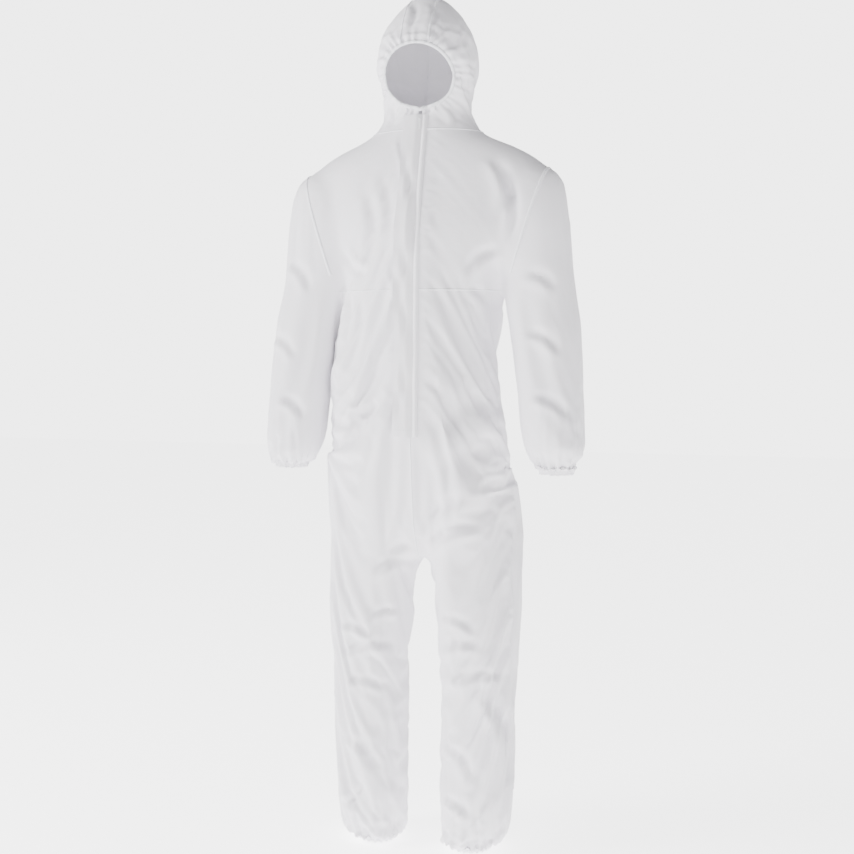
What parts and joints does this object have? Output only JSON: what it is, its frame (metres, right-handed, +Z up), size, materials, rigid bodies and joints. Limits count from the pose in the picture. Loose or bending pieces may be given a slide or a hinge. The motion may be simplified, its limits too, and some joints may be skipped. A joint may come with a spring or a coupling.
{
  "type": "hooded protective coverall",
  "caption": "White hooded one-piece protective coverall with an elasticated face opening, wrists and ankles and a storm flap over the front zip, filled out as worn.",
  "frame": {"origin": "middle of the neckline seam, where the wearer's neck and shoulders carry the suit", "axes": "+Z up the body, -Y out of the front, +X to the wearer's left"},
  "size_m": [0.7156, 0.278, 1.8356],
  "materials": {
    "suit_fabric": "matte nonwoven laminate with a faint sheen",
    "elastic": "gathered covered elastic",
    "zip_tape": "fine woven polyester tape",
    "zip_coil": "moulded nylon coil",
    "zip_metal": "white enamel on zinc alloy",
    "binding": "narrow nonwoven binding",
    "adhesive": "tacky acrylic film",
    "liner": "silicone-coated paper",
    "label": "satin tape, blank"
  },
  "bodies": {
    "torso": {"neck_left": "suit_fabric", "neck_right": "suit_fabric", "chest_left": "suit_fabric", "chest_right": "suit_fabric", "back_yoke": "suit_fabric", "front_left": "suit_fabric", "front_right": "suit_fabric", "back_left": "suit_fabric", "back_right": "suit_fabric", "waist_elastic": "elastic", "chest_seam_binding": "binding", "neck_seam_binding": "binding", "crotch_gusset": "suit_fabric", "size_label": "label", "zip_tape_left": "zip_tape", "zip_tape_right": "zip_tape", "zip_teeth_left": "zip_coil", "zip_teeth_right": "zip_coil", "zip_top_stops": "zip_metal", "zip_bottom_stop": "zip_metal", "flap_sewn_strip": "suit_fabric", "left_sleeve_head": "suit_fabric", "left_sleeve_elbow": "suit_fabric", "right_sleeve_head": "suit_fabric", "right_sleeve_elbow": "suit_fabric", "left_hip": "suit_fabric", "left_knee": "suit_fabric", "right_hip": "suit_fabric", "right_knee": "suit_fabric"},
    "hood": {"hood_left": "suit_fabric", "hood_right": "suit_fabric", "hood_centre": "suit_fabric", "face_elastic": "elastic"},
    "storm_flap": {"storm_flap": "suit_fabric", "flap_adhesive": "adhesive", "flap_liner": "liner"},
    "zip_slider": {"zip_slider": "zip_metal"},
    "zip_pull": {"zip_pull": "zip_metal"},
    "left_upper_arm": {"left_sleeve_upper": "suit_fabric"},
    "left_forearm": {"left_sleeve_forearm": "suit_fabric", "left_cuff": "suit_fabric", "left_wrist_elastic": "elastic"},
    "left_thigh": {"left_thigh": "suit_fabric"},
    "left_shin": {"left_shin": "suit_fabric", "left_leg_end": "suit_fabric", "left_ankle_elastic": "elastic"},
    "right_upper_arm": {"right_sleeve_upper": "suit_fabric"},
    "right_forearm": {"right_sleeve_forearm": "suit_fabric", "right_cuff": "suit_fabric", "right_wrist_elastic": "elastic"},
    "right_thigh": {"right_thigh": "suit_fabric"},
    "right_shin": {"right_shin": "suit_fabric", "right_leg_end": "suit_fabric", "right_ankle_elastic": "elastic"}
  },
  "joints": [
    {"name": "hood_fold", "type": "hinge", "parent": "torso", "child": "hood", "pos_m": [0, 0.088, 0.04], "axis": [-1, 0, 0], "range_deg": [0, 70]},
    {"name": "left_shoulder", "type": "hinge", "parent": "torso", "child": "left_upper_arm", "pos_m": [0.236, -0.008, -0.262], "axis": [0, -1, 0], "range_deg": [0, 60], "deforming": ["left_sleeve_head"]},
    {"name": "left_elbow", "type": "hinge", "parent": "left_upper_arm", "child": "left_forearm", "pos_m": [0.272, -0.024, -0.439], "axis": [-1, 0, 0], "range_deg": [0, 90], "deforming": ["left_sleeve_elbow"]},
    {"name": "left_hip", "type": "hinge", "parent": "torso", "child": "left_thigh", "pos_m": [0.11, -0.022, -0.842], "axis": [-1, 0, 0], "range_deg": [0, 60], "deforming": ["left_hip"]},
    {"name": "left_knee", "type": "hinge", "parent": "left_thigh", "child": "left_shin", "pos_m": [0.118, -0.024, -1.112], "axis": [1, 0, 0], "range_deg": [0, 90], "deforming": ["left_knee"]},
    {"name": "right_shoulder", "type": "hinge", "parent": "torso", "child": "right_upper_arm", "pos_m": [-0.246, -0.008, -0.262], "axis": [0, 1, 0], "range_deg": [0, 60], "deforming": ["right_sleeve_head"]},
    {"name": "right_elbow", "type": "hinge", "parent": "right_upper_arm", "child": "right_forearm", "pos_m": [-0.282, -0.024, -0.439], "axis": [-1, 0, 0], "range_deg": [0, 90], "deforming": ["right_sleeve_elbow"]},
    {"name": "right_hip", "type": "hinge", "parent": "torso", "child": "right_thigh", "pos_m": [-0.11, -0.022, -0.842], "axis": [-1, 0, 0], "range_deg": [0, 60], "deforming": ["right_hip"]},
    {"name": "right_knee", "type": "hinge", "parent": "right_thigh", "child": "right_shin", "pos_m": [-0.118, -0.024, -1.112], "axis": [1, 0, 0], "range_deg": [0, 90], "deforming": ["right_knee"]},
    {"name": "flap_lift", "type": "hinge", "parent": "torso", "child": "storm_flap", "pos_m": [0.005, -0.1384, -0.298], "axis": [0, 0.1261, 0.992], "range_deg": [0, 60]},
    {"name": "zip_slide", "type": "slide", "parent": "torso", "child": "zip_slider", "axis": [0, -0.2702, -0.9628], "range_m": [0, 0.22]},
    {"name": "pull_swing", "type": "hinge", "parent": "zip_slider", "child": "zip_pull", "pos_m": [0, -0.06125, 0.02175], "axis": [-1, 0, 0], "range_deg": [0, 12]}
  ]
}
